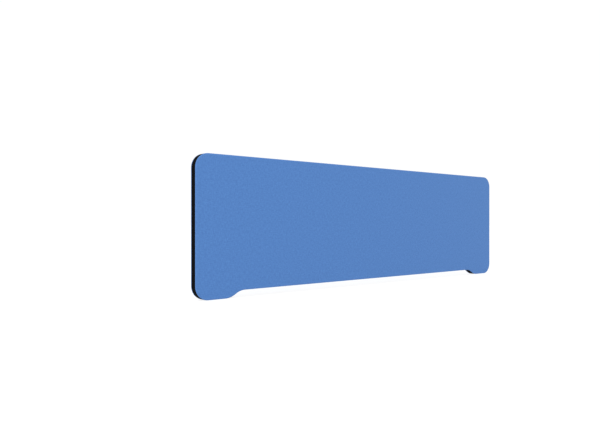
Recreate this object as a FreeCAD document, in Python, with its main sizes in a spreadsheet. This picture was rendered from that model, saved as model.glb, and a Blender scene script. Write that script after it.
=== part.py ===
import FreeCAD, Part
import math
import os
import re
import Sketcher

# Desk privacy panel: a fabric-covered screen that stands along the edge of a desk on two
# shallow feet, with a low cable gap between them. Under the cloth is a dowelled timber frame
# with an acoustic slab in each of its three bays. A black T-section trim is pressed into a
# kerf that runs right round the edge, and hides the staples that hold the two fabric covers.
#
# Frame of the part: millimetres, +X to the right as seen from the front, the front faces -Y,
# +Z up, and the origin is under the middle of the panel, on the surface that it stands on.
# "Inset" is the distance inwards from the outline of the finished panel.

# ---------------------------------------------------------------- driving dimensions

SIZES = {
    "panel_width": (1400, "end to end"),
    "panel_height": (400, "desk top to upper edge"),
    "corner_radius": (40, "rounding of the four outer corners"),
    "foot_length": (160, "end of the panel to the full height of the cable gap"),
    "gap_height": (20, "height of the cable gap between the feet"),
    "bend_slope": (30, "slope of the S between foot and gap, degrees"),
    "ramp_length": (9, "straight stretch on that slope, between the two bends"),
    "core_thickness": (22, "timber frame and acoustic slabs"),
    "wadding_thickness": (2.2, "soft layer on each face"),
    "fabric_thickness": (0.8, "cover cloth"),
    "rim_round": (2.8, "rounding of the cloth where a face meets the edge"),
    "trim_crown": (2.0, "thickness of the visible band of the trim"),
    "trim_relief": (0.7, "depth of the channels under the band that clear the staples"),
    "stem_thickness": (1.4, "web of the trim that goes into the kerf"),
    "stem_depth": (7.0, "length of that web"),
    "barb_height": (0.8, "each of the two ribs that grip the kerf"),
    "barb_spacing": (2.6, "distance between the ribs"),
    "kerf_width": (2.4, "saw cut in the edge of the frame"),
    "kerf_depth": (9.0, "saw cut in the edge of the frame"),
    "trim_joint_gap": (0.3, "butt joint of the trim, in the middle of the cable gap"),
    "hem_width": (7.0, "cloth turned over the edge of the frame"),
    "rail_width": (45, "rails, stiles and the arms of the corner blocks"),
    "corner_block": (70, "arm length of a corner block"),
    "foot_margin": (20, "foot block past the end of the S"),
    "dowel_diameter": (8, "beech dowel"),
    "dowel_length": (36, "beech dowel"),
    "dowel_end_gap": (1.0, "glue room at each end of a dowel"),
    "dowel_edge": (11, "inner face of a rail to the first dowel"),
    "dowel_pitch": (14, "between the two dowels of a joint"),
    "insert_diameter": (10, "knock-in insert"),
    "insert_length": (15, "knock-in insert"),
    "insert_bore": (5, "minor diameter of its M6 thread"),
    "insert_groove": (0.6, "depth of the grooves between its rings"),
    "insert_ring": (1.5, "height of one ring, and of one groove"),
    "insert_recess": (0.4, "mouth of the insert above the underside of the foot"),
    "insert_hole_depth": (18, "drilled hole, from the underside of the foot"),
    "insert_inset": (67, "end of the panel to the middle of a foot's two inserts"),
    "insert_pitch": (32, "between the two inserts of a foot"),
    "staple_crown": (6, "width of a staple"),
    "staple_leg": (8, "length of a staple's legs"),
    "staple_wire": (0.6, "staple wire"),
    "staple_line": (6, "line of staples from the middle of the edge"),
    "staple_pitch": (75, "most that two staples stand apart"),
    "staple_end": (12, "last staple of a run to the end of the run"),
}

# Sizes that follow from the driving ones, used inside the formulas below.
DERIVED = {
    "bend_radius": "(gap_height - ramp_length * sin(bend_slope)) / (2 - 2 * cos(bend_slope))",
    "s_run": "2 * bend_radius * sin(bend_slope) + ramp_length * cos(bend_slope)",
    "gap_end": "panel_width / 2 - foot_length",
    "flat_end": "gap_end + s_run",
    "core_half": "core_thickness / 2",
    "band_half": "core_half - fabric_thickness",
    "wadding_face": "core_half + wadding_thickness",
    "cover_face": "wadding_face + fabric_thickness",
    "hem_end": "core_half - hem_width",
    "core_inset": "trim_crown + fabric_thickness",
    "kerf_inset": "core_inset + kerf_depth",
    "stem_inset": "trim_crown + stem_depth",
    "core_end": "panel_width / 2 - core_inset",
    "core_top": "panel_height - core_inset",
    "rail_foot": "gap_height + core_inset",
    "bay_top": "core_top - rail_width",
    "bay_foot": "rail_foot + rail_width",
    "bay_end": "core_end - rail_width",
    "bay_width": "(2 * bay_end - 2 * rail_width) / 3",
    "mid_inner": "bay_width / 2",
    "mid_outer": "bay_width / 2 + rail_width",
    "corner_x": "core_end - corner_block",
    "corner_z": "core_top - corner_block",
    "foot_x": "gap_end - foot_margin",
}

doc = FreeCAD.newDocument("desk_privacy_panel")
sheet = doc.addObject("Spreadsheet::Sheet", "Sizes")
for row, (alias, (value, meaning)) in enumerate(SIZES.items(), start=1):
    sheet.set(f"A{row}", alias)
    sheet.set(f"B{row}", str(value))
    sheet.set(f"C{row}", meaning)
    sheet.setAlias(f"B{row}", alias)
doc.recompute()


def formula(text):
    """The text with every size in it written as a reference to the sheet."""

    def reference(match):
        word = match.group(0)
        if word in DERIVED:
            return "(" + formula(DERIVED[word]) + ")"
        return "Sizes." + word if word in SIZES else word

    return re.sub(r"[a-z_]+", reference, text)


def size(text):
    """The present value of a formula, as a plain number."""
    return float(sheet.evalExpression(formula(text)))


# ---------------------------------------------------------------- small builders


def bind(item, **formulas):
    """Binds an object's properties to formulas on the sheet."""
    for name, text in formulas.items():
        item.setExpression(name, formula(text))
    return item


def place(item, **formulas):
    """Binds the x, y or z of an object's placement."""
    for axis, text in formulas.items():
        item.setExpression("Placement.Base." + axis, formula(text))
    return item


def block(name, x, y, z):
    """A box between the two formulas given for each axis."""
    box = doc.addObject("Part::Box", name)
    (x0, x1), (y0, y1), (z0, z1) = x, y, z
    bind(box, Length=f"{x1} - ({x0})", Width=f"{y1} - ({y0})", Height=f"{z1} - ({z0})")
    return place(box, x=x0, y=y0, z=z0)


def rod(name, diameter, length, along, x, y, z):
    """A round bar that starts at x, y, z and runs along +X or +Z."""
    bar = doc.addObject("Part::Cylinder", name)
    bind(bar, Radius=f"({diameter}) / 2", Height=length)
    if along == "x":
        bar.Placement.Rotation = FreeCAD.Rotation(FreeCAD.Vector(0, 1, 0), 90)
    return place(bar, x=x, y=y, z=z)


def fuse(name, shapes):
    joined = doc.addObject("Part::MultiFuse", name)
    joined.Shapes = shapes
    return joined


def cut(name, base, tool):
    rest = doc.addObject("Part::Cut", name)
    rest.Base = base
    rest.Tool = tool
    return rest


def common(name, first, second):
    shared = doc.addObject("Part::Common", name)
    shared.Base = first
    shared.Tool = second
    return shared


def group(name, members):
    """Separate solids that share one node."""
    together = doc.addObject("Part::Compound", name)
    together.Links = members
    return together


def mirrored(name, source):
    """The same piece at the other end of the panel."""
    mirror = doc.addObject("Part::Mirroring", name)
    mirror.Source = source
    mirror.Normal = FreeCAD.Vector(1, 0, 0)
    return mirror


# ---------------------------------------------------------------- outline of the panel


def draw_outline():
    """The finished panel's outline: one closed, tangent loop of lines and arcs."""
    sketch = doc.addObject("Sketcher::SketchObject", "outline")
    sketch.Placement.Rotation = FreeCAD.Rotation(FreeCAD.Vector(1, 0, 0), 90)

    end, top = size("panel_width") / 2, size("panel_height")
    corner, bend = size("corner_radius"), size("bend_radius")
    gap, slope = size("gap_height"), math.radians(size("bend_slope"))
    gap_end, flat_end = size("gap_end"), size("flat_end")
    upper = FreeCAD.Vector(gap_end + bend * math.sin(slope), gap - bend * (1 - math.cos(slope)))
    lower = FreeCAD.Vector(flat_end - bend * math.sin(slope), bend * (1 - math.cos(slope)))

    def line(x0, y0, x1, y1):
        segment = Part.LineSegment(FreeCAD.Vector(x0, y0), FreeCAD.Vector(x1, y1))
        return sketch.addGeometry(segment), 1, 2

    def arc(x, y, radius, first, last, clockwise=False):
        circle = Part.Circle(FreeCAD.Vector(x, y), FreeCAD.Vector(0, 0, 1), radius)
        bow = Part.ArcOfCircle(circle, math.radians(first), math.radians(last))
        return (sketch.addGeometry(bow), 2, 1) if clockwise else (sketch.addGeometry(bow), 1, 2)

    tilt = size("bend_slope")
    middle = line(-gap_end, gap, gap_end, gap)
    right_top_bend = arc(gap_end, gap - bend, bend, 90 - tilt, 90, clockwise=True)
    right_ramp = line(upper.x, upper.y, lower.x, lower.y)
    right_low_bend = arc(flat_end, bend, bend, 270 - tilt, 270)
    right_foot = line(flat_end, 0, end - corner, 0)
    right_low_corner = arc(end - corner, corner, corner, 270, 360)
    right_side = line(end, corner, end, top - corner)
    right_top_corner = arc(end - corner, top - corner, corner, 0, 90)
    upper_edge = line(end - corner, top, corner - end, top)
    left_top_corner = arc(corner - end, top - corner, corner, 90, 180)
    left_side = line(-end, top - corner, -end, corner)
    left_low_corner = arc(corner - end, corner, corner, 180, 270)
    left_foot = line(corner - end, 0, -flat_end, 0)
    left_low_bend = arc(-flat_end, bend, bend, 270, 270 + tilt)
    left_ramp = line(-lower.x, lower.y, -upper.x, upper.y)
    left_top_bend = arc(-gap_end, gap - bend, bend, 90, 90 + tilt, clockwise=True)

    loop = [
        middle, right_top_bend, right_ramp, right_low_bend, right_foot, right_low_corner,
        right_side, right_top_corner, upper_edge, left_top_corner, left_side, left_low_corner,
        left_foot, left_low_bend, left_ramp, left_top_bend,
    ]
    for (first, _, leaves), (second, enters, _) in zip(loop, loop[1:] + loop[:1]):
        sketch.addConstraint(Sketcher.Constraint("Tangent", first, leaves, second, enters))
    for level, _, _ in (middle, right_foot, upper_edge, left_foot):
        sketch.addConstraint(Sketcher.Constraint("Horizontal", level))
    for upright, _, _ in (right_side, left_side):
        sketch.addConstraint(Sketcher.Constraint("Vertical", upright))
    for foot, start, _ in (right_foot, left_foot):
        sketch.addConstraint(Sketcher.Constraint("PointOnObject", foot, start, -1))
    for arcs in (
        (right_low_corner, right_top_corner, left_top_corner, left_low_corner),
        (right_top_bend, right_low_bend, left_low_bend, left_top_bend),
    ):
        for other, _, _ in arcs[1:]:
            sketch.addConstraint(Sketcher.Constraint("Equal", arcs[0][0], other))

    def dimension(name, text, *kind):
        index = sketch.addConstraint(Sketcher.Constraint(*kind))
        sketch.renameConstraint(index, name)
        sketch.setExpression("Constraints." + name, formula(text))

    origin = (-1, 1)
    dimension("corner", "corner_radius", "Radius", right_low_corner[0], corner)
    dimension("bend", "bend_radius", "Radius", right_top_bend[0], bend)
    dimension("left_slope", "bend_slope", "Angle", left_ramp[0], slope)
    dimension("right_slope", "-bend_slope", "Angle", right_ramp[0], -slope)
    dimension("gap", "gap_height", "DistanceY", *origin, middle[0], 1, gap)
    dimension("top", "panel_height", "DistanceY", *origin, upper_edge[0], 1, top)
    dimension("right_end", "panel_width / 2", "DistanceX", *origin, right_side[0], 1, end)
    dimension("left_end", "panel_width / 2", "DistanceX", left_side[0], 1, *origin, end)
    dimension("right_gap", "gap_end", "DistanceX", *origin, middle[0], 2, gap_end)
    dimension("left_gap", "gap_end", "DistanceX", middle[0], 1, *origin, gap_end)
    return sketch


outline = draw_outline()
insets = {"0": outline}


def inset_outline(inset):
    """The outline moved inwards by a formula; each inset is made once and shared."""
    if inset not in insets:
        moved = doc.addObject("Part::Offset2D", "inset_" + re.sub(r"\W+", "_", inset))
        moved.Source = outline
        bind(moved, Value=f"-({inset})")
        insets[inset] = moved
    return insets[inset]


FRONT, REAR = 1, -1


def plate(name, inset, near, far, side=FRONT):
    """A flat plate of the inset outline, from near to far in front of the middle plane,
    or behind it for the rear side."""
    slab = doc.addObject("Part::Extrusion", name)
    slab.Base = inset_outline(inset)
    slab.DirMode = "Custom"
    slab.Dir = FreeCAD.Vector(0, -side, 0)
    slab.Solid = True
    return bind(slab, LengthFwd=far, LengthRev=f"-({near})")


def ring(name, outer, inner, near, far):
    """A closed band that follows the outline between two insets."""
    return cut(name, plate(name + "_out", outer, near, far), plate(name + "_in", inner, near, far))


# ---------------------------------------------------------------- dowels and their holes

THROUGH_CORE = ("-(core_half)", "core_half")


def dowel_lines():
    """Every dowel as (name, axis, x, z) of its middle, for both ends of the panel."""
    near, far = "dowel_edge", "dowel_edge + dowel_pitch"
    for end, sign in (("left", "-"), ("right", "")):
        for place_name, step in (("inner", near), ("outer", far)):
            top, foot = f"bay_top + {step}", f"bay_foot - ({step})"
            post = f"{sign}(bay_end + {step})"
            yield f"{end}_top_{place_name}", "x", f"{sign}(corner_x)", top
            yield f"{end}_foot_{place_name}", "x", f"{sign}(foot_x)", foot
            yield f"{end}_post_top_{place_name}", "z", post, "corner_z"
            yield f"{end}_post_foot_{place_name}", "z", post, "bay_foot"
        for place_name, step in (("inner", "-dowel_pitch / 2"), ("outer", "dowel_pitch / 2")):
            post = f"{sign}(mid_inner + rail_width / 2 + {step})"
            yield f"{end}_mid_top_{place_name}", "z", post, "bay_top"
            yield f"{end}_mid_foot_{place_name}", "z", post, "bay_foot"


def dowel_set(name, length):
    bars = []
    for label, along, x, z in dowel_lines():
        start_x = f"{x} - ({length}) / 2" if along == "x" else x
        start_z = f"{z} - ({length}) / 2" if along == "z" else z
        bars.append(rod(f"{name}_{label}", "dowel_diameter", length, along, start_x, "0", start_z))
    return bars


frame_dowels = group("frame_dowels", dowel_set("dowel", "dowel_length"))
dowel_holes = dowel_set("dowel_hole", "dowel_length + 2 * dowel_end_gap")


# ---------------------------------------------------------------- threaded inserts

INSERT_PLACES = {
    "outer": "panel_width / 2 - insert_inset + insert_pitch / 2",
    "inner": "panel_width / 2 - insert_inset - insert_pitch / 2",
}


def knock_in_insert(name, x):
    """A brass insert with square rings outside and an M6 thread right through."""
    body = rod(name + "_body", "insert_diameter", "insert_length", "z", x, "0", "insert_recess")
    rings = int(size("insert_length") / (2 * size("insert_ring")))
    tools = [rod(name + "_bore", "insert_bore", "insert_length", "z", x, "0", "insert_recess")]
    for number in range(rings):
        height = f"insert_recess + insert_ring * (2 * {number} + 1)"
        full = rod(f"{name}_skin_{number}", "insert_diameter", "insert_ring", "z", x, "0", height)
        root_size = "insert_diameter - 2 * insert_groove"
        root = rod(f"{name}_root_{number}", root_size, "insert_ring", "z", x, "0", height)
        tools.append(cut(f"{name}_groove_{number}", full, root))
    return cut(name, body, fuse(name + "_tools", tools))


right_inserts = []
insert_holes = []
for spot, reach in INSERT_PLACES.items():
    right_inserts.append(knock_in_insert(f"insert_{spot}", reach))
    for end, sign in (("left", "-"), ("right", "")):
        hole_name = f"insert_hole_{end}_{spot}"
        hole = rod(hole_name, "insert_diameter", "insert_hole_depth", "z", f"{sign}({reach})", "0", "0")
        insert_holes.append(hole)

right_foot_inserts = group("right_foot_inserts", right_inserts)
left_foot_inserts = mirrored("left_foot_inserts", right_foot_inserts)


# ---------------------------------------------------------------- staples


def staple_runs():
    """The straight stretches of the frame's edge as (start, end, inward) in X and Z."""
    end, top = size("core_end"), size("core_top")
    foot, gap = size("core_inset"), size("rail_foot")
    gap_end, flat_end = size("gap_end"), size("flat_end")
    corner_x = size("panel_width / 2 - corner_radius")
    corner_top = size("panel_height - corner_radius")
    corner_foot = size("corner_radius")
    yield (-corner_x, top), (corner_x, top), (0, -1)
    yield (-gap_end, gap), (gap_end, gap), (0, 1)
    for sign in (-1, 1):
        yield (sign * end, corner_foot), (sign * end, corner_top), (-sign, 0)
        yield (sign * flat_end, foot), (sign * corner_x, foot), (0, 1)


def staple(point, along, inward, across):
    """One wire staple: its crown on the hem and its legs through the hem into the frame."""
    wire, width, leg = size("staple_wire"), size("staple_crown"), size("staple_leg")
    hem = size("fabric_thickness")
    middle = point - inward * hem + FreeCAD.Vector(0, across, 0)
    half_wire = FreeCAD.Vector(0, wire / 2, 0)
    corners = [
        (-width / 2, -wire), (width / 2, -wire), (width / 2, leg), (width / 2 - wire, leg),
        (width / 2 - wire, 0), (wire - width / 2, 0), (wire - width / 2, leg), (-width / 2, leg),
    ]
    points = [middle - half_wire + along * step + inward * depth for step, depth in corners]
    face = Part.Face(Part.makePolygon(points + points[:1]))
    return face.extrude(half_wire * 2)


def staple_row(name, side):
    """All the staples of one cover, evenly spaced along each straight stretch."""
    across = -side * size("staple_line")
    near_end, pitch = size("staple_end"), size("staple_pitch")
    insert_room = size("insert_diameter + staple_crown") / 2
    taken = [size(reach) for reach in INSERT_PLACES.values()]
    staples = []
    for start, finish, inward in staple_runs():
        first = FreeCAD.Vector(start[0], 0, start[1])
        last = FreeCAD.Vector(finish[0], 0, finish[1])
        along = (last - first).normalize()
        reach = (last - first).Length - 2 * near_end
        gaps = max(1, math.ceil(reach / pitch))
        for number in range(gaps + 1):
            point = first + along * (near_end + reach * number / gaps)
            at_foot = point.z < size("gap_height")
            if at_foot and any(abs(abs(point.x) - hole) < insert_room for hole in taken):
                continue
            staples.append(staple(point, along, FreeCAD.Vector(inward[0], 0, inward[1]), across))
    row = doc.addObject("Part::Feature", name)
    row.Shape = Part.makeCompound(staples)
    row.Placement = FreeCAD.Placement()
    return row


front_staples = staple_row("front_staples", FRONT)
rear_staples = staple_row("rear_staples", REAR)


# ---------------------------------------------------------------- timber frame

kerf_band = ring("kerf", "0", "kerf_inset", "-(kerf_width / 2)", "kerf_width / 2")
core_blank = plate("core_blank", "core_inset", *THROUGH_CORE)
holes = fuse("frame_holes", [kerf_band, *dowel_holes, *insert_holes])
drilled_core = cut("drilled_core", core_blank, holes)


def timber(name, *blocks):
    """A frame member: the part of the grooved and drilled core inside the given blocks."""
    blank = blocks[0] if len(blocks) == 1 else fuse(name + "_blank", list(blocks))
    grooved = common(name + "_grooved", drilled_core, blank)
    return cut(name, cut(name + "_front", grooved, front_staples), rear_staples)


def timber_block(name, x, z):
    return block(name, x, THROUGH_CORE, z)


top_rail = timber(
    "top_rail", timber_block("top_rail_block", ("-(corner_x)", "corner_x"), ("bay_top", "core_top"))
)
bottom_rail = timber(
    "bottom_rail",
    timber_block("bottom_rail_block", ("-(foot_x)", "foot_x"), ("rail_foot", "bay_foot")),
)

frame_ends = []
for end, low, high in (("left", "-({1})", "-({0})"), ("right", "{0}", "{1}")):

    def span(inner, outer):
        return low.format(inner, outer), high.format(inner, outer)

    stile = timber(
        f"{end}_stile",
        timber_block(f"{end}_stile_block", span("bay_end", "core_end"), ("bay_foot", "corner_z")),
    )
    mid_stile = timber(
        f"{end}_mid_stile",
        timber_block(
            f"{end}_mid_stile_block", span("mid_inner", "mid_outer"), ("bay_foot", "bay_top")
        ),
    )
    corner = timber(
        f"top_{end}_corner_block",
        timber_block(f"{end}_corner_level", span("corner_x", "core_end"), ("bay_top", "core_top")),
        timber_block(f"{end}_corner_upright", span("bay_end", "core_end"), ("corner_z", "core_top")),
    )
    foot = timber(
        f"{end}_foot_block",
        timber_block(f"{end}_foot_blank", span("foot_x", "core_end"), ("0", "bay_foot")),
    )
    frame_ends += [stile, mid_stile, corner, foot]


# ---------------------------------------------------------------- acoustic slabs

SLAB_BAYS = {
    "acoustic_slab_left": ("-(bay_end)", "-(mid_outer)"),
    "acoustic_slab_centre": ("-(mid_inner)", "mid_inner"),
    "acoustic_slab_right": ("mid_outer", "bay_end"),
}
acoustic_slabs = [
    block(name, bay, THROUGH_CORE, ("bay_foot", "bay_top")) for name, bay in SLAB_BAYS.items()
]


# ---------------------------------------------------------------- wadding and fabric covers


def rounded(name, base, side, level, radius):
    """Rounds the edge of a plate's outer face, which lies at the given distance from the middle."""
    doc.recompute()
    depth = -side * size(level)
    edges = [
        (number, size(radius), size(radius))
        for number, edge in enumerate(base.Shape.Edges, start=1)
        if max(abs(edge.BoundBox.YMin - depth), abs(edge.BoundBox.YMax - depth)) < 1e-6
    ]
    soft = doc.addObject("Part::Fillet", name)
    soft.Base = base
    soft.Edges = edges
    return soft


def wadding(name, side):
    pad = plate(name + "_plate", "fabric_thickness", "core_half", "wadding_face", side)
    return rounded(name, pad, side, "wadding_face", "rim_round - fabric_thickness")


def cover(name, side, padding, staples):
    """Cloth over one face, round the rim, under the wadding's edge and along the frame's edge."""
    face = plate(name + "_face", "0", "band_half", "cover_face", side)
    soft_face = rounded(name + "_rim", face, side, "cover_face", "rim_round")
    hem = plate(name + "_hem", "trim_crown", "hem_end", "band_half", side)
    inside = plate(name + "_inside", "core_inset", "hem_end", "core_half", side)
    cloth = fuse(name + "_cloth", [soft_face, hem])
    hollow = cut(name + "_hollow", cut(name + "_lining", cloth, padding), inside)
    drilled = cut(name + "_drilled", hollow, staples)
    return cut(name, drilled, fuse(name + "_insert_holes", insert_holes))


front_wadding = wadding("front_wadding", FRONT)
rear_wadding = wadding("rear_wadding", REAR)
front_cover = cover("front_cover", FRONT, front_wadding, front_staples)
rear_cover = cover("rear_cover", REAR, rear_wadding, rear_staples)


# ---------------------------------------------------------------- edge trim


def edge_trim_strip():
    """The black T-section: a flat band, a web with two ribs, and channels over the staples."""
    band = ring("trim_band", "0", "trim_crown", "-(band_half)", "band_half")
    web_half = "stem_thickness / 2"
    web = ring("trim_web", "trim_crown", "stem_inset", f"-({web_half})", web_half)
    kerf_half = "kerf_width / 2"
    ribs = []
    for number in (0, 1):
        deep = f"stem_inset - barb_spacing * {number}"
        shallow = f"{deep} - barb_height"
        ribs.append(ring(f"trim_rib_{number}", shallow, deep, f"-({kerf_half})", kerf_half))
    channel = ("staple_line - 2 * staple_wire", "staple_line + 2 * staple_wire")
    under = "trim_crown - trim_relief"
    front_channel = ring("trim_front_channel", under, "trim_crown", *channel)
    rear_channel = ring(
        "trim_rear_channel", under, "trim_crown", f"-({channel[1]})", f"-({channel[0]})"
    )
    half_joint = "trim_joint_gap / 2"
    joint = block(
        "trim_joint", (f"-({half_joint})", half_joint), THROUGH_CORE, ("0", "bay_foot")
    )
    strip = fuse("trim_profile", [band, web, *ribs])
    tools = fuse("trim_tools", [front_channel, rear_channel, joint, *insert_holes])
    return cut("edge_trim", strip, tools)


edge_trim = edge_trim_strip()


# ---------------------------------------------------------------- checks and export

pieces = [
    top_rail, bottom_rail, *frame_ends, *acoustic_slabs, frame_dowels,
    front_wadding, rear_wadding, front_cover, rear_cover, front_staples, rear_staples,
    edge_trim, left_foot_inserts, right_foot_inserts,
]

doc.recompute()
for item in doc.Objects:
    if "Invalid" in item.State or "Error" in item.State:
        raise RuntimeError(f"{item.Name} failed: {item.State}")
if outline.solve() != 0:
    raise RuntimeError("the outline sketch has no solution")
for piece in pieces:
    piece.Label = piece.Name
    if piece.Shape.isNull() or not piece.Shape.isValid() or not piece.Shape.Solids:
        raise RuntimeError(f"{piece.Label} has no valid solid")

os.makedirs("parts", exist_ok=True)
for piece in pieces:
    piece.Shape.exportStep(os.path.join("parts", piece.Label + ".step"))
    print(f"{piece.Label}: {len(piece.Shape.Solids)} solid(s), {piece.Shape.Volume / 1000:.1f} cm3")
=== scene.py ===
# %% [markdown]
# # A fabric-covered desk privacy panel
#
# The object is a low screen for the edge of a desk. A timber frame with felt slabs inside is
# padded with thin wadding, covered with blue cloth front and back, and closed by a black PVC
# band pressed into its edge. The design model already holds every hard piece at its real size,
# so this script only makes the pieces whose look depends on softness or on a swept section, and
# gives every piece a finish. The first cell loads the design model as a fixed frame.

# %% Load the frame
import math

import bmesh
import bpy
import numpy as np
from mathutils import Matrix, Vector, geometry, noise


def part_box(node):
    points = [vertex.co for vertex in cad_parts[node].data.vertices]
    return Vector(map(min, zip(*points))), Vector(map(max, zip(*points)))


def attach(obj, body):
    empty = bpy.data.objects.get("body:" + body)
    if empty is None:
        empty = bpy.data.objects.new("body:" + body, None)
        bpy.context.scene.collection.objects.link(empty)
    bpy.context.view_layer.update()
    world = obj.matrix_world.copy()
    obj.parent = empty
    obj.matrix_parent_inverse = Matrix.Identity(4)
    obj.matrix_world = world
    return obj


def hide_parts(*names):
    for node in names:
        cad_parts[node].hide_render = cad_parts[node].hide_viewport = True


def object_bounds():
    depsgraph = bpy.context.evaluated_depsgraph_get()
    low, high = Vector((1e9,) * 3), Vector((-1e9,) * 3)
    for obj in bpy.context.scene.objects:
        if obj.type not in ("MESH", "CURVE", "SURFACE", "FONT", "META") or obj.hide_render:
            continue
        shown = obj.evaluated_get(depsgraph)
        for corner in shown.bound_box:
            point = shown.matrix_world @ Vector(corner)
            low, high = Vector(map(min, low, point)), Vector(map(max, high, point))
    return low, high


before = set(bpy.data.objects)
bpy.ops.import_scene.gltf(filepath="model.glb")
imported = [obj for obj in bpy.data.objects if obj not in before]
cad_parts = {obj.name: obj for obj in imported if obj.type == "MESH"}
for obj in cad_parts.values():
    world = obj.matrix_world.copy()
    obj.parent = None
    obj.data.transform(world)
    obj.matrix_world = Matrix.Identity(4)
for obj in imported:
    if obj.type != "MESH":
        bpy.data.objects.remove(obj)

cad_low, cad_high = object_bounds()
MM = 0.001
print("panel, mm:", [round(side / MM, 1) for side in cad_high - cad_low])

# %% [markdown]
# ## Sizes, read from the design model
#
# A cover has to follow the panel's outline to a fraction of a millimetre, or the black band
# would not meet it. So nothing is measured twice: the ends of the straight stretches are read
# from the corner points of the band in the design model. Only the slope of the S at each foot
# is stated here, and the radius of its two bends follows from its height and length.

# %% Read the outline's sizes
BAND = np.array([vertex.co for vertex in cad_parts["edge_trim"].data.vertices])
SNAP = 0.02 * MM


def reach_at(height, within):
    """The |x| of every corner point of the band at this height, out to a limit."""
    level = np.abs(BAND[np.abs(BAND[:, 2] - height) < SNAP][:, 0])
    return level[level < within]


END, TOP = cad_high.x, cad_high.z
CORNER = END - reach_at(TOP, END).max()
FLAT_END = reach_at(0.0, END).min()
CORE_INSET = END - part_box("right_stile")[1].x
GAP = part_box("bottom_rail")[0].z - CORE_INSET
GAP_END = reach_at(GAP, FLAT_END).max()
SLOPE = math.radians(30)
BEND = (FLAT_END - GAP_END - GAP / math.tan(SLOPE)) / (2 * math.tan(SLOPE / 2))
print("corner, gap, bend radius, mm:", [round(v / MM, 2) for v in (CORNER, GAP, BEND)])

# %% [markdown]
# The layers lie one on another outwards from the middle plane: frame, wadding, cloth. The band
# is as deep as the frame less the cloth's thickness, and the cloth comes round to meet it.

# %% Read the layers' depths
FACE = cad_high.y
CORE_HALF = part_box("top_rail")[1].y
WADDING_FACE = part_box("rear_wadding")[1].y
BAND_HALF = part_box("edge_trim")[1].y
HEM_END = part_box("rear_cover")[0].y
CLOTH = FACE - WADDING_FACE
BAND_THICK = CORE_INSET - CLOTH
print("cloth, wadding, mm:", round(CLOTH / MM, 2), round((WADDING_FACE - CORE_HALF) / MM, 2))

# %% [markdown]
# ## The outline as a run of points with normals
#
# The outline is four straight edges, four rounded corners and an S at each foot. Each sample
# holds a place and the direction straight out of the edge. With that, any line parallel to the
# edge is one subtraction, and a cover, its wadding and the band can all be built from the same
# run. Drawing the shape once and reusing it is what keeps the layers nested.

# %% Walk round the outline
LINE_STEP = 12 * MM
ARC_STEP = math.radians(5)


def right_half():
    """Samples (x, z, out_x, out_z) from the middle of the cable gap up to the top middle."""
    samples = []

    def straight(x0, z0, x1, z1, out_x, out_z):
        count = max(1, round(math.hypot(x1 - x0, z1 - z0) / LINE_STEP))
        for step in range(count):
            t = step / count
            samples.append((x0 + t * (x1 - x0), z0 + t * (z1 - z0), out_x, out_z))

    def bow(x, z, radius, first, last, outward):
        count = round(abs(last - first) / ARC_STEP)
        for step in range(count):
            angle = first + (last - first) * step / count
            c, s = math.cos(angle), math.sin(angle)
            samples.append((x + radius * c, z + radius * s, outward * c, outward * s))

    quarter = math.pi / 2
    upper_x, upper_z = GAP_END + BEND * math.sin(SLOPE), GAP - BEND * (1 - math.cos(SLOPE))
    lower_x, lower_z = FLAT_END - BEND * math.sin(SLOPE), BEND * (1 - math.cos(SLOPE))
    straight(0, GAP, GAP_END, GAP, 0, -1)
    bow(GAP_END, GAP - BEND, BEND, quarter, quarter - SLOPE, -1)
    straight(upper_x, upper_z, lower_x, lower_z, -math.sin(SLOPE), -math.cos(SLOPE))
    bow(FLAT_END, BEND, BEND, -quarter - SLOPE, -quarter, 1)
    straight(FLAT_END, 0, END - CORNER, 0, 0, -1)
    bow(END - CORNER, CORNER, CORNER, -quarter, 0, 1)
    straight(END, CORNER, END, TOP - CORNER, 1, 0)
    bow(END - CORNER, TOP - CORNER, CORNER, 0, quarter, 1)
    straight(END - CORNER, TOP, 0, TOP, 0, 1)
    samples.append((0, TOP, 0, 1))
    return samples


right = right_half()
left = [(-x, z, -out_x, out_z) for x, z, out_x, out_z in reversed(right[1:-1])]
RIM = np.array(right + left)
RIM_AT, RIM_OUT = RIM[:, :2], RIM[:, 2:]
print("outline samples:", len(RIM))

# %% [markdown]
# ## How the cloth lies
#
# Cloth stretched over wadding is never quite flat. The wadding lifts it a little away from the
# staples, it wanders by a few hundredths of a millimetre over the hand's width, and where it
# is eased round a corner it gathers in small puckers. These are worked out as a height over the
# flat face, so a simulation is not needed: the cloth is held all round and cannot fall anywhere.

# %% Height of the cloth over the flat face
RIM_TURN = 2.8 * MM
LOFT = 0.30 * MM
LOFT_REACH = 45 * MM
WANDER = 0.07 * MM
WANDER_PER_METRE = 7
PUCKER = 0.16 * MM
PUCKER_REACH = 16 * MM
PUCKERS_PER_TURN = 64
CORNER_TURN = 0.05


def cloth_height(points, seed):
    """How far the cloth stands above its flat face at each (x, z)."""
    gaps = np.linalg.norm(points[:, None, :] - RIM_AT[None, :, :], axis=2)
    depth = gaps.min(axis=1)
    nearest = RIM_OUT[gaps.argmin(axis=1)]
    rise = np.clip((depth - RIM_TURN) / LOFT_REACH, 0, 1)
    lift = LOFT * rise * rise * (3 - 2 * rise)
    drift = [noise.noise(Vector((x, z, seed)) * WANDER_PER_METRE) for x, z in points]
    near = np.clip((depth - RIM_TURN) / PUCKER_REACH, 0, 1)
    bent = np.minimum(np.abs(nearest[:, 0]), np.abs(nearest[:, 1])) > CORNER_TURN
    angle = np.arctan2(nearest[:, 1], nearest[:, 0])
    pucker = PUCKER * np.sin(math.pi * near) * np.cos(angle * PUCKERS_PER_TURN) * bent
    return lift + WANDER * np.array(drift) * rise - pucker * (near < 1)


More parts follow.
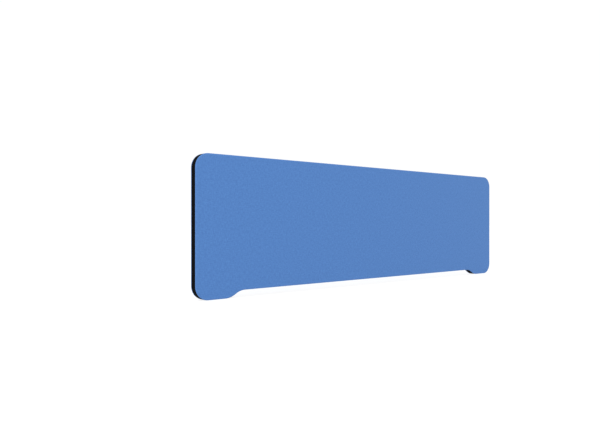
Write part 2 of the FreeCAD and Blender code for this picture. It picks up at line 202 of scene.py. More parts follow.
# %% [markdown]
# ## One builder for every soft layer
#
# A cover is one closed skin: it comes in over the face, rolls round the rim, turns in under the
# wadding's edge, runs down the frame's edge as a hem, and comes back on its inner side. Each
# stage is a row of points parallel to the outline, so the whole skin is rows joined by quads,
# with an even net of triangles inside the last row. Every point also keeps its place in the
# flat, uncut cloth as its UV, so that threads stay straight and evenly spaced over the rim.

# %% Rows and nets
FACE_ROWS = [30 * MM, 22 * MM, 15 * MM, 9.5 * MM, 5.5 * MM, RIM_TURN]
NET_STEP = 14 * MM
NET_MARGIN = 7 * MM
INSIDE_ONLY = 1
SAME_POINT = 1e-9


def inset_points(inset):
    """The line parallel to the outline, so far inside it."""
    return RIM_AT - RIM_OUT * inset


def inner_net():
    """Points inside the innermost row and clear of the cable gap, and the triangles that
    join them to that row."""
    loop = inset_points(FACE_ROWS[0])
    xs = np.arange(-END, END, NET_STEP) + NET_STEP / 2
    zs = np.arange(0, TOP, NET_STEP) + NET_STEP / 2
    grid = np.array([(x, z) for x in xs for z in zs])
    gaps = np.linalg.norm(grid[:, None, :] - RIM_AT[None, :, :], axis=2).min(axis=1)
    clear_of_gap = (grid[:, 1] > GAP + FACE_ROWS[0]) | (np.abs(grid[:, 0]) > FLAT_END)
    inside = grid[(gaps > FACE_ROWS[0] + NET_MARGIN) & clear_of_gap]
    points = [Vector(p) for p in np.vstack([loop, inside])]
    border = list(range(len(loop)))
    made = geometry.delaunay_2d_cdt(points, [], [border], INSIDE_ONLY, SAME_POINT)
    if len(made[0]) != len(points):
        raise ValueError("the net merged two points")
    return inside, [tuple(triangle) for triangle in made[2]]


NET_POINTS, NET_TRIANGLES = inner_net()
print("net:", len(NET_POINTS), "points,", len(NET_TRIANGLES), "triangles")


def soft_skin(name, side, seed, face, rows, back):
    """A closed skin. face and back are the depths of its two flats, and rows are the
    (inset, depth, cloth length beyond the face) of the stages between them. A back of None
    gives an inner side that follows the face at the cloth's thickness."""
    verts, cloth_uv, faces = [], [], []

    def row(inset, depth, beyond):
        start = len(verts)
        flat_place = inset_points(RIM_TURN) + RIM_OUT * beyond
        for (x, z), uv in zip(inset_points(inset), flat_place):
            verts.append((x, -side * depth, z))
            cloth_uv.append(tuple(uv))
        return start

    def flat_points(points, depth, lifted):
        start = len(verts)
        heights = cloth_height(points, seed) if lifted else np.zeros(len(points))
        for (x, z), height in zip(points, heights):
            verts.append((x, -side * (depth + height), z))
            cloth_uv.append((x, z))
        return start

    def join(first, second):
        for here in range(len(RIM)):
            there = (here + 1) % len(RIM)
            faces.append((first + here, first + there, second + there, second + here))

    def flat_rows(depth, lifted):
        return [flat_points(inset_points(inset), depth, lifted) for inset in FACE_ROWS]

    def net(loop_start, depth, lifted, turned):
        extra = flat_points(NET_POINTS, depth, lifted)
        shift = extra - len(RIM)
        for triangle in NET_TRIANGLES:
            corners = [loop_start + i if i < len(RIM) else shift + i for i in triangle]
            faces.append(tuple(reversed(corners)) if turned else tuple(corners))

    back_lifted = back is None
    back_depth = face - CLOTH if back_lifted else back
    starts = flat_rows(face, True)
    stages = starts + [row(*stage) for stage in rows]
    ends = flat_rows(back_depth, back_lifted)
    stages += ends[::-1]
    for first, second in zip(stages, stages[1:]):
        join(first, second)
    net(starts[0], face, True, True)
    net(ends[0], back_depth, back_lifted, False)

    mesh = bpy.data.meshes.new(name)
    mesh.from_pydata(verts, [], faces)
    layer = mesh.uv_layers.new(name="cloth")
    for loop in mesh.loops:
        layer.data[loop.index].uv = cloth_uv[loop.vertex_index]
    skin = bmesh.new()
    skin.from_mesh(mesh)
    if skin.calc_volume(signed=True) < 0:
        bmesh.ops.reverse_faces(skin, faces=skin.faces)
    open_edges = sum(not edge.is_manifold for edge in skin.edges)
    skin.to_mesh(mesh)
    skin.free()
    mesh.shade_smooth()
    made = bpy.data.objects.new(name, mesh)
    bpy.context.collection.objects.link(made)
    print(name, "faces", len(faces), "open edges", open_edges)
    return made


# %% [markdown]
# ## The two covers
#
# Seen from the edge, a cover's section is a face, a soft quarter-round rim, a sharp fold where
# the cloth turns in beside the band, and a hem. The fold is what draws the crisp blue line along
# the black, so it gets a tiny radius of its own. Each turn is a few rows, worked out as an arc.

# %% Make the covers
RIM_STEPS = 7
FOLD = 0.35 * MM
FOLD_STEPS = 3


def quarter_turn(inset, depth, radius, steps):
    """Rows from the face round to the side: (inset, depth, length walked)."""
    for step in range(1, steps + 1):
        angle = math.pi / 2 * step / steps
        yield inset - radius * math.sin(angle), depth + radius * math.cos(angle), radius * angle


def cover_rows():
    """Rim, fold, lip and hem on the outside, and the same way back on the inside."""
    side_depth = FACE - RIM_TURN
    rows = list(quarter_turn(RIM_TURN, side_depth, RIM_TURN, RIM_STEPS))
    walked = rows[-1][2]
    fold_depth = BAND_HALF + FOLD
    for step in range(FOLD_STEPS + 1):
        angle = math.pi / 2 * step / FOLD_STEPS
        inset, depth = FOLD * (1 - math.cos(angle)), fold_depth - FOLD * math.sin(angle)
        rows.append((inset, depth, walked + side_depth - fold_depth + FOLD * angle))
    walked = rows[-1][2]
    rows.append((BAND_THICK, BAND_HALF, walked + BAND_THICK - FOLD))
    walked = rows[-1][2]
    rows.append((BAND_THICK, HEM_END, walked + BAND_HALF - HEM_END))
    rows.append((CORE_INSET, HEM_END, walked + BAND_HALF - HEM_END))
    rows.append((CORE_INSET, CORE_HALF, walked - CLOTH))
    rows.append((CLOTH, CORE_HALF, walked - BAND_THICK - CLOTH))
    inner = list(quarter_turn(RIM_TURN, side_depth, RIM_TURN - CLOTH, RIM_STEPS))
    return rows + [(inset, depth, length) for inset, depth, length in reversed(inner)]


FRONT, REAR = 1, -1
COVER_ROWS = cover_rows()
front_cloth = soft_skin("front_cover_cloth", FRONT, 3.0, FACE, COVER_ROWS, None)
rear_cloth = soft_skin("rear_cover_cloth", REAR, 8.0, FACE, COVER_ROWS, None)

# %% [markdown]
# ## The wadding
#
# The wadding is cut to the frame's size plus a little, so its edge makes the cloth roll over
# softly. It is the same skin without a hem: its outer side follows the inside of the cloth,
# a hair below it, and its back lies flat on the frame and the felt slabs.

# %% Make the wadding
PAD_GAP = 0.04 * MM


def wadding_rows():
    side_depth = FACE - RIM_TURN
    rows = list(quarter_turn(RIM_TURN, side_depth, RIM_TURN - CLOTH - PAD_GAP, RIM_STEPS))
    edge, _, walked = rows[-1]
    rows.append((edge, CORE_HALF + PAD_GAP, walked + side_depth - CORE_HALF))
    return rows


PAD_FACE = WADDING_FACE - PAD_GAP
PAD_ROWS = wadding_rows()
PAD_BACK = CORE_HALF + PAD_GAP
front_pad = soft_skin("front_wadding_pad", FRONT, 3.0, PAD_FACE, PAD_ROWS, PAD_BACK)
rear_pad = soft_skin("rear_wadding_pad", REAR, 8.0, PAD_FACE, PAD_ROWS, PAD_BACK)

# %% [markdown]
# ## The edge band
#
# The band is an extrusion: one T-shaped section, the same all the way along. Sweeping that
# section along the outline is how the real strip follows the edge, and Geometry Nodes do it in
# one node, Curve to Mesh. The section is drawn first, from the flat band down to the two barbs
# that grip the saw kerf, with the two channels that clear the staples. Its points go round in
# the direction that turns the faces of the swept band outwards.

# %% Draw the band's section
BAND_PLAY = 0.04 * MM
BAND_ROUND = 0.45 * MM
BAND_CROWN = 0.12 * MM
CROWN_STEPS = 6
CHANNEL = (4.8 * MM, 7.2 * MM)
CHANNEL_DEPTH = 0.7 * MM
WEB_HALF = 0.7 * MM
WEB_END = 9.0 * MM
BARB_REACH = 1.16 * MM
BARB_LENGTH = 0.8 * MM
BARB_SPACING = 2.6 * MM


def section_half():
    """(inset, depth) from the middle of the band's outer face to the middle of the web's end."""
    half = BAND_HALF - BAND_PLAY
    flat = half - BAND_ROUND
    for step in range(CROWN_STEPS):
        depth = flat * step / CROWN_STEPS
        yield BAND_CROWN * (depth / flat) ** 2, depth
    for step in range(CROWN_STEPS + 1):
        angle = math.pi / 2 * step / CROWN_STEPS
        turned = BAND_CROWN + BAND_ROUND * (1 - math.cos(angle))
        yield turned, flat + BAND_ROUND * math.sin(angle)
    yield BAND_THICK, half
    yield BAND_THICK, CHANNEL[1]
    yield BAND_THICK - CHANNEL_DEPTH, CHANNEL[1]
    yield BAND_THICK - CHANNEL_DEPTH, CHANNEL[0]
    yield BAND_THICK, CHANNEL[0]
    yield BAND_THICK, WEB_HALF
    for barb in (1, 0):
        tip = WEB_END - BARB_SPACING * barb - BARB_LENGTH
        yield tip, WEB_HALF
        yield tip, BARB_REACH
        yield tip + BARB_LENGTH, WEB_HALF
    yield WEB_END, 0


def poly_curve(name, points, closed):
    """A curve of straight pieces through the given 3-D points."""
    data = bpy.data.curves.new(name, "CURVE")
    data.dimensions = "3D"
    spline = data.splines.new("POLY")
    spline.points.add(len(points) - 1)
    for target, place in zip(spline.points, points):
        target.co = (*place, 1)
    spline.use_cyclic_u = closed
    made = bpy.data.objects.new(name, data)
    bpy.context.collection.objects.link(made)
    return made


half = list(section_half())
whole_section = half + [(inset, -depth) for inset, depth in reversed(half[1:-1])]
section_points = [(depth, -inset, 0) for inset, depth in reversed(whole_section)]
section = poly_curve("band_section", section_points, closed=True)
print("section corners:", len(section_points))

# %% [markdown]
# The strip starts and ends at a butt joint in the middle of the cable gap, where nobody looks.
# The path is the outline itself, open by the width of that joint. The tree then drills the four
# holes for the threaded inserts, because the band runs across the undersides of the feet. Each
# drill is turned by half of one of its sides, so that none of its corners falls on the band's
# middle line, where a cut through two points at one place would leave slivers.

# %% Sweep the band with Geometry Nodes
JOINT_GAP = 0.3 * MM
HOLE_ROOM = 0.05 * MM
HOLE_DEPTH = 4 * WEB_END
HOLE_SIDES = 40
CREASE = math.radians(30)
CM = 10 * MM
insert_low, insert_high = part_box("right_foot_inserts")
INSERT_RADIUS = (insert_high.y - insert_low.y) / 2


def add(tree, kind, inputs=None, **settings):
    """Adds one node, with its settings, and its inputs as values or as links."""
    node = tree.nodes.new(kind)
    for name, value in settings.items():
        setattr(node, name, value)
    for name, value in (inputs or {}).items():
        if isinstance(value, bpy.types.NodeSocket):
            tree.links.new(value, node.inputs[name])
        else:
            node.inputs[name].default_value = value
    return node


def band_tree():
    """Section swept along the path, less the insert holes."""
    tree = bpy.data.node_groups.new("Edge band", "GeometryNodeTree")
    sockets = [
        ("Path", "NodeSocketGeometry"), ("Section", "NodeSocketObject"),
        ("Hole Radius", "NodeSocketFloat"), ("Hole Depth", "NodeSocketFloat"),
        ("Inner Hole", "NodeSocketFloat"), ("Outer Hole", "NodeSocketFloat"),
        ("Material", "NodeSocketMaterial"),
    ]
    for name, kind in sockets:
        tree.interface.new_socket(name, in_out="INPUT", socket_type=kind)
    tree.interface.new_socket("Band", in_out="OUTPUT", socket_type="NodeSocketGeometry")
    given = add(tree, "NodeGroupInput").outputs
    drawn = add(tree, "GeometryNodeObjectInfo", {"Object": given["Section"]})
    swept = add(
        tree, "GeometryNodeCurveToMesh",
        {"Curve": given["Path"], "Profile Curve": drawn.outputs["Geometry"], "Fill Caps": True},
    )
    inner = add(tree, "ShaderNodeCombineXYZ", {"X": given["Inner Hole"]})
    outer = add(tree, "ShaderNodeCombineXYZ", {"X": given["Outer Hole"]})
    right_places = add(
        tree, "GeometryNodeMeshLine",
        {"Count": 2, "Start Location": inner.outputs[0], "Offset": outer.outputs[0]},
        mode="END_POINTS",
    )
    left_places = add(
        tree, "GeometryNodeTransform",
        {"Geometry": right_places.outputs["Mesh"], "Rotation": (0, 0, math.pi)},
    )
    places = add(tree, "GeometryNodeJoinGeometry")
    tree.links.new(right_places.outputs["Mesh"], places.inputs[0])
    tree.links.new(left_places.outputs["Geometry"], places.inputs[0])
    drill = add(
        tree, "GeometryNodeMeshCylinder",
        {"Vertices": HOLE_SIDES, "Radius": given["Hole Radius"], "Depth": given["Hole Depth"]},
    )
    drills = add(
        tree, "GeometryNodeInstanceOnPoints",
        {"Points": places.outputs[0], "Instance": drill.outputs["Mesh"],
         "Rotation": (0, 0, math.pi / HOLE_SIDES)},
    )
    solid_drills = add(
        tree, "GeometryNodeRealizeInstances", {"Geometry": drills.outputs["Instances"]}
    )
    drilled = add(tree, "GeometryNodeMeshBoolean", operation="DIFFERENCE", solver="EXACT")
    tree.links.new(swept.outputs["Mesh"], drilled.inputs["Mesh 1"])
    tree.links.new(solid_drills.outputs["Geometry"], drilled.inputs["Mesh 2"])
    real = add(tree, "GeometryNodeRealizeInstances", {"Geometry": drilled.outputs["Mesh"]})
    painted = add(
        tree, "GeometryNodeSetMaterial",
        {"Geometry": real.outputs["Geometry"], "Material": given["Material"]},
    )
    add(tree, "NodeGroupOutput", {"Band": painted.outputs["Geometry"]})
    return tree


def baked(name, source, tree, values):
    """Runs a tree on an object and keeps the result as a plain mesh object."""
    modifier = source.modifiers.new("build", "NODES")
    modifier.node_group = tree
    for item in tree.interface.items_tree:
        if item.in_out == "INPUT" and item.name in values:
            modifier[item.identifier] = values[item.name]
    evaluated = source.evaluated_get(bpy.context.evaluated_depsgraph_get())
    mesh = bpy.data.meshes.new_from_object(evaluated)
    mesh.name = name
    source.modifiers.remove(modifier)
    made = bpy.data.objects.new(name, mesh)
    bpy.context.collection.objects.link(made)
    return made


trim_pvc = bpy.data.materials.new("extruded_pvc_black")
path_points = [(JOINT_GAP / 2, 0, GAP)]
path_points += [(x, 0, z) for x, z in RIM_AT[1:]] + [(-JOINT_GAP / 2, 0, GAP)]
path = poly_curve("band_path", path_points, closed=False)
edge_band = baked("edge_band", path, band_tree(), {
    "Section": section,
    "Hole Radius": INSERT_RADIUS + HOLE_ROOM,
    "Hole Depth": HOLE_DEPTH,
    "Inner Hole": insert_low.x + INSERT_RADIUS,
    "Outer Hole": insert_high.x - INSERT_RADIUS,
    "Material": trim_pvc,
})
for helper in (section, path):
    bpy.data.objects.remove(helper)
edge_band.data.shade_smooth()
edge_band.data.set_sharp_from_angle(angle=CREASE)
drilled_band = bmesh.new()
drilled_band.from_mesh(edge_band.data)
open_edges = sum(not edge.is_manifold for edge in drilled_band.edges)
band_volume = drilled_band.calc_volume(signed=True) / CM ** 3
print("band, cm3:", round(band_volume, 1), "open edges", open_edges)
drilled_band.free()

# %% [markdown]
# ## Finishes
#
# Every finish starts from what the real material is and how its surface was made. Colours are
# given as sRGB hex values, as a colour chart on a screen shows them, and one function turns
# them into the linear values that a shader needs. Pattern sizes are real ones, in metres.

# %% Colour and material helpers


def linear(hex_colour):
    """An sRGB hex colour as linear red, green, blue and alpha."""
    shares = [int(hex_colour[i:i + 2], 16) / 255 for i in (0, 2, 4)]
    curve = [s / 12.92 if s <= 0.04045 else ((s + 0.055) / 1.055) ** 2.4 for s in shares]
    return (*curve, 1.0)


def start_material(name, **shader_values):
    """A material with its shader's constant values set, as (material, tree, shader)."""
    material = bpy.data.materials.get(name) or bpy.data.materials.new(name)
    material.use_nodes = True
    tree = material.node_tree
    shader = tree.nodes["Principled BSDF"]
    for socket, value in shader_values.items():
        shader.inputs[socket.replace("_", " ")].default_value = value
    return material, tree, shader


def dress(tree, shader, pattern, first, second, height, relief):
    """Colours the surface from one hex colour to another by a 0 to 1 pattern, and raises it
    by a 0 to 1 height, which stands for a relief in metres."""
    ends = {0: pattern, 6: linear(first), 7: linear(second)}
    colour = add(tree, "ShaderNodeMix", ends, data_type="RGBA")
    bump = add(tree, "ShaderNodeBump", {"Height": height, "Distance": relief})
    tree.links.new(colour.outputs[2], shader.inputs["Base Color"])
    tree.links.new(bump.outputs["Normal"], shader.inputs["Normal"])
    return colour.outputs[2]


print("mid grey in linear light:", round(linear("808080")[0], 3))

# %% [markdown]
# ### Woven polyester cloth
#
# The covers are a flat crepe-like weave of dyed polyester. Real threads are about 0.8 mm apart,
# too fine to see on a whole panel, so the weave is drawn twice as coarse, at 1.6 mm, and a
# mottle of thicker and thinner yarn at 3 to 9 mm carries what the eye sees from a distance. The
# weave reads the cloth's own UV, so that threads run true over the rim, and a sheen at grazing
# angles gives the pale edge that loose fibres make.

# %% Cloth patterns
THREAD = 1.6 * MM
YARN_THICKENING = 9 * MM
YARN_STRETCH = 3.2


def weave_height(tree, cloth_place):
    """A plain weave: warp on top in one square, weft in the next."""
    split = add(tree, "ShaderNodeSeparateXYZ", {"Vector": cloth_place})
    humps = []
    for axis in ("X", "Y"):
        turn = add(
            tree, "ShaderNodeMath", {0: split.outputs[axis], 1: math.pi / THREAD},
            operation="MULTIPLY",
        )
        wave = add(tree, "ShaderNodeMath", {0: turn.outputs[0]}, operation="SINE")
        humps.append(add(tree, "ShaderNodeMath", {0: wave.outputs[0]}, operation="ABSOLUTE"))
    over = add(tree, "ShaderNodeTexChecker", {"Vector": cloth_place, "Scale": 1 / THREAD})
    return add(
        tree, "ShaderNodeMix",
        {0: over.outputs["Fac"], 2: humps[0].outputs[0], 3: humps[1].outputs[0]},
    ).outputs[0]


def yarn_mottle(tree, cloth_place):
    """Thick and thin places along warp and weft, as two crossed streaky noises."""
    streaks = []
    for stretch in ((1, YARN_STRETCH, 1), (YARN_STRETCH, 1, 1)):
        pulled = add(tree, "ShaderNodeMapping", {"Vector": cloth_place, "Scale": stretch})
        streaks.append(add(
            tree, "ShaderNodeTexNoise",
            {"Vector": pulled.outputs["Vector"], "Scale": 1 / YARN_THICKENING, "Detail": 3.0},
        ))
    both = add(
        tree, "ShaderNodeMath",
        {0: streaks[0].outputs["Fac"], 1: streaks[1].outputs["Fac"]}, operation="ADD",
    )
    return add(
        tree, "ShaderNodeMapRange",
        {"Value": both.outputs[0], "From Min": 0.75, "From Max": 1.25},
    ).outputs["Result"]


# %% Cloth
THREAD_HEIGHT = 0.11 * MM
CLOTH_DARK, CLOTH_PALE = "4873B1", "517FBD"
# Factors on the dye: painted shade in the weave's hollows, painted light on its tops.
WEAVE_HOLLOW_SHADE, WEAVE_TOP_LIGHT = 0.93, 1.05


def woven_polyester():
    """The dyed cloth, with painted shade between its threads and painted light on their tops."""
    material, tree, shader = start_material(
        "woven_polyester_blue", Roughness=0.92, Specular_IOR_Level=0.25,
        Sheen_Weight=0.22, Sheen_Roughness=0.45, Sheen_Tint=linear("C4D6F2"),
    )
    place = add(tree, "ShaderNodeUVMap", uv_map="cloth").outputs["UV"]
    weave = weave_height(tree, place)
    dye = dress(
        tree, shader, yarn_mottle(tree, place), CLOTH_DARK, CLOTH_PALE, weave, THREAD_HEIGHT
    )
    # Painted shade and light: the weave's height scales the dye, darker in the hollows between
    # threads and lighter on their tops.
    shade = add(
        tree, "ShaderNodeMapRange", {"Value": weave, "To Min": WEAVE_HOLLOW_SHADE, "To Max": WEAVE_TOP_LIGHT}
    )
    threads = add(
        tree, "ShaderNodeVectorMath", {0: dye, "Scale": shade.outputs["Result"]},
        operation="SCALE",
    )
    tree.links.new(threads.outputs["Vector"], shader.inputs["Base Color"])
    return material


cloth = woven_polyester()
print(cloth.name, "thread spacing drawn, mm:", THREAD / MM)

# %% [markdown]
# ### Extruded PVC
#
# The band is soft black PVC pushed through a die, which leaves a matt skin and very fine lines
# along its length. Handling rubs the outer face a little smoother in patches. The specular
# level is far under a moulded plastic's, because a white surround would turn the black grey.

# %% Black PVC band
DIE_LINES = 0.9 * MM
DIE_LINE_DEPTH = 0.02 * MM
ALONG_BAND = (0.02, 1, 0.02)
RUBBED_PATCH = 60 * MM
SMOOTHEST, ROUGHEST = 0.5, 0.68


def extruded_pvc():
    """Matt black, with die lines that run along the band and patches rubbed smoother."""
    material, tree, shader = start_material("extruded_pvc_black", Specular_IOR_Level=0.01)
    place = add(tree, "ShaderNodeTexCoord").outputs["Object"]
    along = add(tree, "ShaderNodeMapping", {"Vector": place, "Scale": ALONG_BAND})
    lines = add(
        tree, "ShaderNodeTexNoise",
        {"Vector": along.outputs["Vector"], "Scale": 1 / DIE_LINES, "Detail": 2.0},
    ).outputs["Fac"]
    rubbed = add(
        tree, "ShaderNodeTexNoise", {"Vector": place, "Scale": 1 / RUBBED_PATCH, "Detail": 4.0}
    ).outputs["Fac"]
    gloss = add(
        tree, "ShaderNodeMapRange", {"Value": rubbed, "To Min": SMOOTHEST, "To Max": ROUGHEST}
    )
    tree.links.new(gloss.outputs["Result"], shader.inputs["Roughness"])
    dress(tree, shader, rubbed, "060607", "0D0D0F", lines, DIE_LINE_DEPTH)
    return material


pvc = extruded_pvc()
print(pvc.name, "die lines, mm:", DIE_LINES / MM)

# %% [markdown]
# ### Fibres: wadding and felt
#
# Wadding is a loose web of white polyester, so it scatters light and has a fluffy, uneven
# surface. The acoustic slabs are the same fibre in mixed greys, pressed hard, so they look like
# a fine speckle with a few longer strands.

# %% Wadding and felt


def fibre(name, dark, pale, strand, height):
    """Tangled fibres: one fine noise, warped by its own distortion."""
    material, tree, shader = start_material(name, Roughness=0.95, Specular_IOR_Level=0.2)
    place = add(tree, "ShaderNodeTexCoord").outputs["Object"]
    strands = add(
        tree, "ShaderNodeTexNoise",
        {"Vector": place, "Scale": 1 / strand, "Detail": 6.0, "Distortion": 1.6},
    ).outputs["Fac"]
    sharper = add(
        tree, "ShaderNodeMapRange", {"Value": strands, "From Min": 0.35, "From Max": 0.65}
    )
    dress(tree, shader, sharper.outputs["Result"], dark, pale, strands, height)
    return material


wadding = fibre("polyester_wadding", "DAD9D3", "F4F3EE", strand=5 * MM, height=0.6 * MM)
felt = fibre("pressed_felt_grey", "6E7072", "9C9EA0", strand=2 * MM, height=0.15 * MM)
print("fibres:", wadding.name, felt.name)

# %% [markdown]
# ### Wood: pine, plywood and beech
#
# Sawn pine shows growth rings as long bands along the grain, soft yellow between harder, redder
# lines. The rings go round the length of each member, and everything is drawn out along it, so
# rails and stiles take the same recipe on another axis. Birch plywood shows its edge as thin
# stacked layers, and beech dowels show short dark flecks.

# %% Sawn and turned wood
GRAIN_DRAWN_OUT = 0.06
PORE = 0.8 * MM
PORE_DEPTH = 0.05 * MM
RING_SHARE = 0.7
WAVE_NODE_TURN = 20


def sawn_wood(name, along, pale, dark, ring, rough):
    """Growth rings round an axis and drawn out along it, with fine pores over them.
    A Wave node turns by 20 radians for each unit, which sets its scale for one ring."""
    material, tree, shader = start_material(name, Roughness=rough, Specular_IOR_Level=0.35)
    place = add(tree, "ShaderNodeTexCoord").outputs["Object"]
    stretch = [GRAIN_DRAWN_OUT if axis == along else 1 for axis in "XYZ"]
    grain = add(tree, "ShaderNodeMapping", {"Vector": place, "Scale": stretch}).outputs["Vector"]
    rings = add(
        tree, "ShaderNodeTexWave",
        {"Vector": grain, "Scale": 2 * math.pi / (WAVE_NODE_TURN * ring), "Distortion": 6.0,
         "Detail": 3.0, "Detail Scale": 0.3},
        wave_type="RINGS", rings_direction=along, wave_profile="SAW",
    ).outputs["Fac"]
    pores = add(
        tree, "ShaderNodeTexNoise", {"Vector": grain, "Scale": 1 / PORE, "Detail": 4.0}
    ).outputs["Fac"]
    both = add(
        tree, "ShaderNodeMath", {0: rings, 1: RING_SHARE, 2: pores}, operation="MULTIPLY_ADD"
    ).outputs[0]
    tone = add(tree, "ShaderNodeMapRange", {"Value": both, "From Min": 0.3, "From Max": 1.3})
    dress(tree, shader, tone.outputs["Result"], pale, dark, pores, PORE_DEPTH)
    return material


pine_level = sawn_wood("sawn_pine_level", "X", "E0C08E", "B98A52", ring=3 * MM, rough=0.65)
pine_upright = sawn_wood("sawn_pine_upright", "Z", "E0C08E", "B98A52", ring=3 * MM, rough=0.65)
beech = sawn_wood("turned_beech", "X", "D2A877", "9F744A", ring=1 * MM, rough=0.5)
print("woods:", pine_level.name, pine_upright.name, beech.name)

# %% Birch plywood
PLIES = 15
PLY_CONTRAST = 0.25
VENEER_FIGURE = 4 * MM
VENEER_DRAWN_OUT = (0.1, 1, 1)


def birch_plywood():
    """Stacked veneers, with light and dark layers alternating through the thickness."""
    material, tree, shader = start_material(
        "birch_plywood", Roughness=0.7, Specular_IOR_Level=0.3
    )
    place = add(tree, "ShaderNodeTexCoord").outputs["Object"]
    through = add(tree, "ShaderNodeSeparateXYZ", {"Vector": place}).outputs["Y"]
    turn = math.pi * PLIES / (2 * CORE_HALF)
    angle = add(tree, "ShaderNodeMath", {0: through, 1: turn}, operation="MULTIPLY").outputs[0]
    layer = add(tree, "ShaderNodeMath", {0: angle}, operation="SINE").outputs[0]
    along = add(tree, "ShaderNodeMapping", {"Vector": place, "Scale": VENEER_DRAWN_OUT})
    figure = add(
        tree, "ShaderNodeTexNoise",
        {"Vector": along.outputs["Vector"], "Scale": 1 / VENEER_FIGURE, "Detail": 5.0},
    ).outputs["Fac"]
    both = add(
        tree, "ShaderNodeMath", {0: layer, 1: PLY_CONTRAST, 2: figure}, operation="MULTIPLY_ADD"
    ).outputs[0]
    dress(tree, shader, both, "D8BC8E", "A87F50", figure, PORE_DEPTH)
    return material


plywood = birch_plywood()
print(plywood.name, "ply, mm:", round(2 * CORE_HALF / PLIES / MM, 2))

# %% [markdown]
# ### Metal: staples and inserts
#
# Staples are drawn steel wire with a thin zinc coat, so they are bright with faint lines. The
# inserts are turned brass, a warm metal with fine tool marks round it. Both keep the default
# IOR, and the marks change their gloss as well as their tone.

# %% Metals
TOOL_MARK_DEPTH = 0.01 * MM


def worked_metal(name, dark, pale, rough, mark, stretch):
    """A bare metal with tool or drawing marks that vary its tone and its gloss."""
    material, tree, shader = start_material(name, Metallic=1.0)
    place = add(tree, "ShaderNodeTexCoord").outputs["Object"]
    drawn = add(tree, "ShaderNodeMapping", {"Vector": place, "Scale": stretch})
    marks = add(
        tree, "ShaderNodeTexNoise",
        {"Vector": drawn.outputs["Vector"], "Scale": 1 / mark, "Detail": 3.0},
    ).outputs["Fac"]
    gloss = add(
        tree, "ShaderNodeMapRange",
        {"Value": marks, "To Min": rough - 0.08, "To Max": rough + 0.1},
    )
    tree.links.new(gloss.outputs["Result"], shader.inputs["Roughness"])
    dress(tree, shader, marks, dark, pale, marks, TOOL_MARK_DEPTH)
    return material


zinc_wire = worked_metal("zinc_coated_steel_wire", "A9ACAF", "D2D4D6", 0.32, 0.5 * MM, (1, 4, 1))
brass = worked_metal("turned_brass", "B98F45", "E3C277", 0.28, 0.4 * MM, (0.2, 0.2, 3))
print("metals:", zinc_wire.name, brass.name)

# %% [markdown]
# ## Finish every piece, and put the new pieces on the body
#
# Nothing on this panel moves, so there is one body. Each soft piece and the band stand for the
# plain solids of the design model, and the design model's other pieces keep their own shapes
# and only get their finish.

# %% Finish the design model's own pieces
FINISHES = {
    pine_level: ["top_rail", "bottom_rail"],
    pine_upright: ["left_stile", "right_stile", "left_mid_stile", "right_mid_stile"],
    plywood: [
        "top_left_corner_block", "top_right_corner_block", "left_foot_block", "right_foot_block",
    ],
    beech: ["frame_dowels"],
    felt: ["acoustic_slab_left", "acoustic_slab_centre", "acoustic_slab_right"],
    zinc_wire: ["front_staples", "rear_staples"],
    brass: ["left_foot_inserts", "right_foot_inserts"],
}


def paint(piece, material):
    """Gives a piece this one material."""
    piece.data.materials.clear()
    piece.data.materials.append(material)


for finish, nodes in FINISHES.items():
    for node in nodes:
        paint(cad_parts[node], finish)
print("finished nodes:", sum(len(nodes) for nodes in FINISHES.values()))

# %% Place the new pieces
SOFT_AND_SWEPT = [
    (front_cloth, "front_cover", "cover_cloth", cloth),
    (rear_cloth, "rear_cover", "cover_cloth", cloth),
    (front_pad, "front_wadding", "wadding", wadding),
    (rear_pad, "rear_wadding", "wadding", wadding),
    (edge_band, "edge_trim", "trim_pvc", pvc),
]
for piece, node, slot, material in SOFT_AND_SWEPT:
    paint(piece, material)
    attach(piece, "root")
    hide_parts(node)

# %% [markdown]
# Each cover was cut as one flat piece, larger than the panel by what goes round the rim, in
# beside the band and down the frame's edge. That length is the last stage of the rows above.

# %% [markdown]
# ## Studio
#
# The panel stands on a plain white floor that runs on to a white surround. Light comes evenly
# from all round, as in a light tent, with one large soft lamp at the upper left in front to
# pick out the rolled rim. The floor glows a little, so the shadow under the panel stays faint.

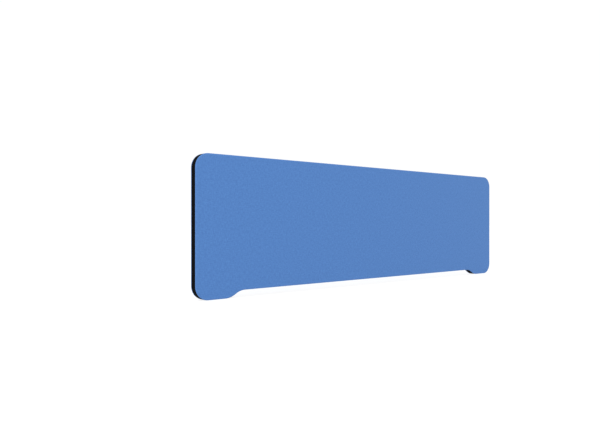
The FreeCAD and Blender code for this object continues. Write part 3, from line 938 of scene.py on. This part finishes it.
# %% Floor and surround
FLOOR_REACH = 40.0
FLOOR_GLOW = 0.82
SURROUND_LIGHT = 1.02
floor_mesh = bpy.data.meshes.new("studio_floor")
corners = [(FLOOR_REACH * x, FLOOR_REACH * y, 0) for x, y in ((-1, -1), (1, -1), (1, 1), (-1, 1))]
floor_mesh.from_pydata(corners, [], [range(4)])
floor = bpy.data.objects.new("studio_floor", floor_mesh)
bpy.context.collection.objects.link(floor)
floor_paper, _, _ = start_material(
    "matt_white_paper", Base_Color=linear("818181"), Roughness=0.95, Specular_IOR_Level=0.1,
    Emission_Color=linear("FFFFFF"), Emission_Strength=FLOOR_GLOW,
)
paint(floor, floor_paper)
world = bpy.data.worlds.new("light_tent")
world.use_nodes = True
world.node_tree.nodes["Background"].inputs["Color"].default_value = linear("FFFFFF")
world.node_tree.nodes["Background"].inputs["Strength"].default_value = SURROUND_LIGHT
bpy.context.scene.world = world

# %% Lamp
LAMP_PLACE = Vector((-2.4, -0.8, 2.6))
LAMP_SIZE = 1.0
LAMP_WATTS = 40
softbox = bpy.data.lights.new("key_softbox", "AREA")
softbox.shape = "DISK"
softbox.size = LAMP_SIZE
softbox.energy = LAMP_WATTS
lamp = bpy.data.objects.new("key_softbox", softbox)
lamp.location = LAMP_PLACE
lamp.rotation_euler = (Vector((0, 0, TOP / 2)) - LAMP_PLACE).to_track_quat("-Z", "Y").to_euler()
bpy.context.collection.objects.link(lamp)
print("lamp to panel, m:", round(LAMP_PLACE.length, 2))

# %% [markdown]
# ## Camera
#
# The camera stands to the left at about the panel's own half height and looks level, so the
# uprights stay parallel. Its place is measured from the panel's left end: a stride out to the
# left and a good metre in front, turned to look along the panel. The view transform is set to
# Standard, so that white stays white and the cloth's hex colours come out as they were given.

# %% Camera
CAMERA_LEFT_OF_END = 0.7697
CAMERA_IN_FRONT = 1.3770
CAMERA_HEIGHT = 0.2115
HEADING = math.radians(39.681)
LENS = 34.648
HORIZON_SHIFT = 0.00077
camera = bpy.data.objects.new("camera", bpy.data.cameras.new("camera"))
camera.data.lens = LENS
camera.data.sensor_width = 36
camera.data.shift_y = HORIZON_SHIFT
camera.location = (-END - CAMERA_LEFT_OF_END, -CAMERA_IN_FRONT, CAMERA_HEIGHT)
camera.rotation_euler = (math.pi / 2, 0, -HEADING)
bpy.context.collection.objects.link(camera)
bpy.context.scene.camera = camera
bpy.context.scene.view_settings.view_transform = "Standard"
print("camera at, m:", [round(v, 3) for v in camera.location])
